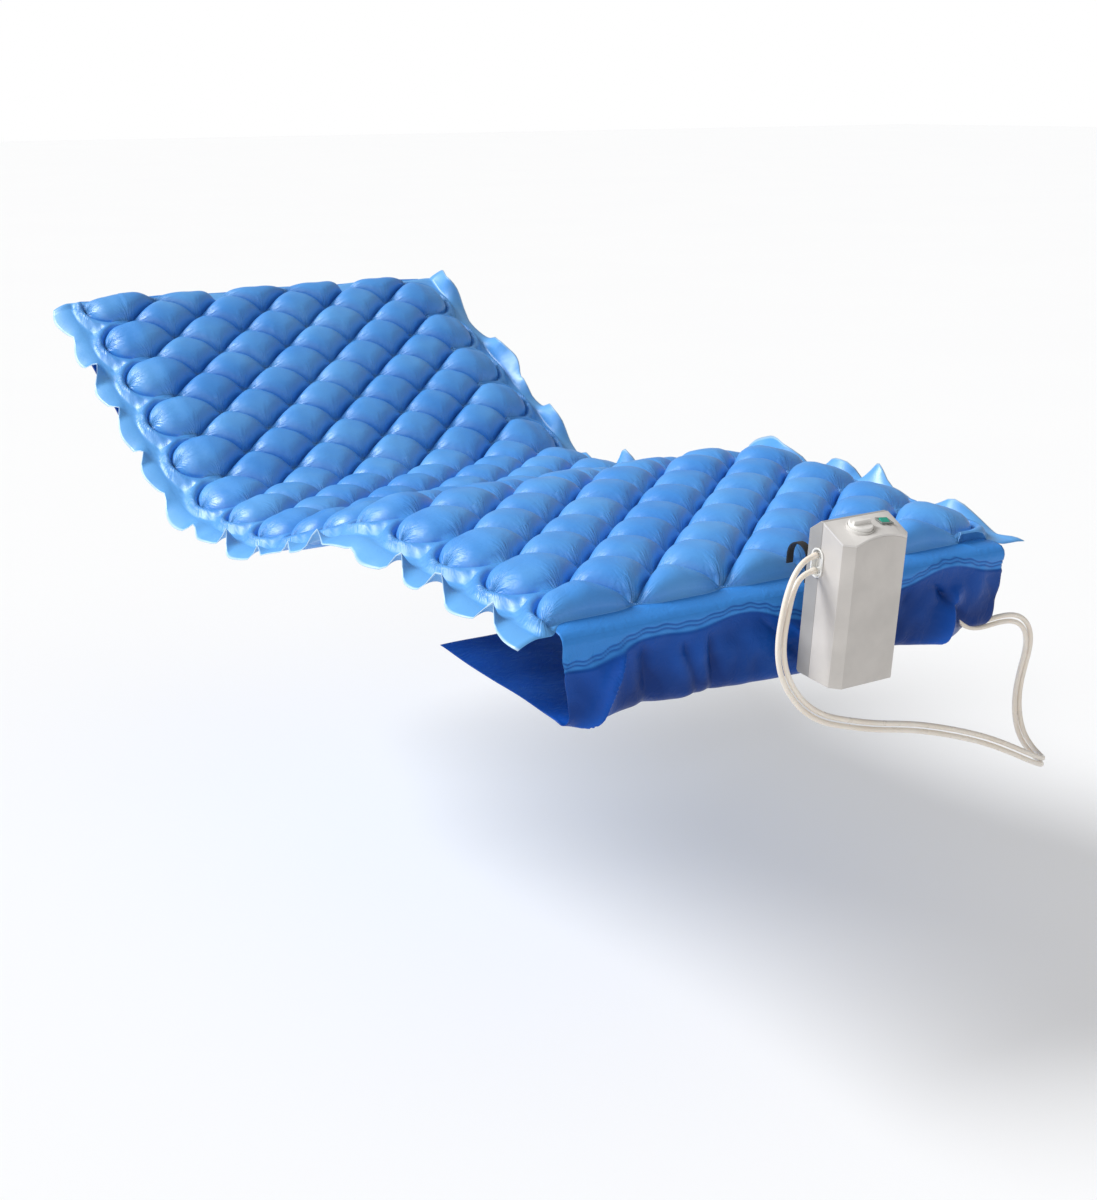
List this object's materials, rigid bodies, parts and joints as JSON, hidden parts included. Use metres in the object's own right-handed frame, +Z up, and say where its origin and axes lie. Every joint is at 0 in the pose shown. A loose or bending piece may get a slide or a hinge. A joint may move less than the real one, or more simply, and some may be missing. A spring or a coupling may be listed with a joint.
{
  "type": "alternating pressure mattress overlay",
  "caption": "Bubble-cell air overlay pad for a hospital bed, folded to a part-raised profiling position, with tuck-under end flaps, twin hoses and a hook-on air pump.",
  "frame": {"origin": "middle of the seat section's flat underside, where it lies on the bed's mattress", "axes": "+Z up, +Y towards the head end, +X to the right as seen from the foot end"},
  "size_m": [1.0206, 2.1568, 0.687],
  "materials": {
    "cell_film": "satin",
    "welded_film": "satin",
    "flap_film": "satin",
    "case_plastic": "satin",
    "back_plastic": "satin",
    "white_plastic": "satin",
    "hose_vinyl": "satin",
    "tube_silicone": "gloss",
    "black_nylon": "satin",
    "switch_green": "gloss",
    "black_rubber": "matte",
    "zinc_steel": "satin",
    "coil_copper": "satin",
    "valve_brass": "satin"
  },
  "bodies": {
    "seat": {"seat_cells_a": "cell_film", "seat_cells_b": "cell_film", "seat_sheet": "welded_film"},
    "back": {"back_cells_a": "cell_film", "back_cells_b": "cell_film", "back_sheet": "welded_film", "head_flap_drop": "flap_film", "head_flap_tail": "flap_film"},
    "thigh": {"thigh_cells_a": "cell_film", "thigh_cells_b": "cell_film", "thigh_sheet": "welded_film"},
    "calf": {"calf_cells_a": "cell_film", "calf_cells_b": "cell_film", "calf_sheet": "welded_film", "foot_flap_drop": "flap_film", "foot_flap_tail": "flap_film", "hose_port_block": "welded_film", "pad_nipple_a": "white_plastic", "pad_nipple_b": "white_plastic", "hose_a": "hose_vinyl", "hose_b": "hose_vinyl"},
    "pump": {"front_shell": "case_plastic", "back_shell": "back_plastic", "control_panel": "case_plastic", "dial_seat": "back_plastic", "regulator_body": "valve_brass", "switch_bezel": "black_nylon", "outlet_socket": "white_plastic", "outlet_nipple_a": "white_plastic", "outlet_nipple_b": "white_plastic", "hook_pin_left": "zinc_steel", "hook_pin_right": "zinc_steel", "bumper_left": "black_rubber", "bumper_right": "black_rubber", "cord_gland": "black_rubber", "filter_cover": "back_plastic", "compressor_frame": "black_nylon", "isolator_left": "black_rubber", "isolator_right": "black_rubber", "magnet_core": "zinc_steel", "coil": "coil_copper", "diaphragm_left": "black_rubber", "diaphragm_right": "black_rubber", "valve_box_left": "case_plastic", "valve_box_right": "case_plastic", "timing_motor": "zinc_steel", "distributor_body": "white_plastic", "distributor_cap": "white_plastic", "air_tube_left": "tube_silicone", "air_tube_right": "tube_silicone", "air_tube_a": "tube_silicone", "air_tube_b": "tube_silicone"},
    "hook_left": {"hook_left": "black_nylon"},
    "hook_right": {"hook_right": "black_nylon"},
    "dial": {"pressure_dial": "case_plastic"},
    "rocker": {"power_rocker": "switch_green"},
    "rotor": {"distributor_rotor": "black_nylon"},
    "arm_left": {"arm_left": "zinc_steel"},
    "arm_right": {"arm_right": "zinc_steel"}
  },
  "joints": [
    {"name": "back_fold", "type": "hinge", "parent": "seat", "child": "back", "pos_m": [0, 0.16875, 0.065], "axis": [1, 0, 0], "range_deg": [-28.5, 46.5]},
    {"name": "thigh_fold", "type": "hinge", "parent": "seat", "child": "thigh", "pos_m": [0, -0.16875, 0.065], "axis": [-1, 0, 0], "range_deg": [-16.7, 18.3]},
    {"name": "calf_fold", "type": "hinge", "parent": "thigh", "child": "calf", "pos_m": [0, -0.57535, 0.11912], "axis": [1, 0, 0], "range_deg": [-20.3, 22.24]},
    {"name": "pump_swing", "type": "hinge", "parent": "calf", "child": "pump", "pos_m": [0.0275, -1.149, 0.151], "axis": [-1, 0, 0], "range_deg": [0, 45]},
    {"name": "hook_left_fold", "type": "hinge", "parent": "pump", "child": "hook_left", "pos_m": [-0.018, -1.16865, 0.12928], "axis": [0, 0.0837, -0.9965], "range_deg": [0, 90]},
    {"name": "hook_right_fold", "type": "hinge", "parent": "pump", "child": "hook_right", "pos_m": [0.073, -1.16865, 0.12928], "axis": [0, -0.0837, 0.9965], "range_deg": [0, 90]},
    {"name": "dial_turn", "type": "hinge", "parent": "pump", "child": "dial", "pos_m": [0.0095, -1.23505, 0.20771], "axis": [0, -0.289, 0.9573], "range_deg": [-135, 135]},
    {"name": "power_rock", "type": "hinge", "parent": "pump", "child": "rocker", "pos_m": [0.0605, -1.23009, 0.2084], "axis": [-0.9936, -0.0095, 0.1128], "range_deg": [0, 16]},
    {"name": "rotor_spin", "type": "hinge", "parent": "pump", "child": "rotor", "pos_m": [0.0275, -1.21333, 0.11047], "axis": [0, -0.0837, 0.9965], "continuous": true},
    {"name": "arm_left_swing", "type": "hinge", "parent": "pump", "child": "arm_left", "pos_m": [-0.0047, -1.21066, 0.07859], "axis": [0, 0.9965, 0.0837], "range_deg": [-1.5, 1.5], "stiffness_Nm_per_rad": 5},
    {"name": "arm_right_swing", "type": "hinge", "parent": "pump", "child": "arm_right", "pos_m": [0.0597, -1.21066, 0.07859], "axis": [0, 0.9965, 0.0837], "range_deg": [-1.5, 1.5], "stiffness_Nm_per_rad": 5}
  ],
  "couplings": [
    {"joint": "calf_fold", "follows": "thigh_fold", "ratio": 1.2156}
  ]
}
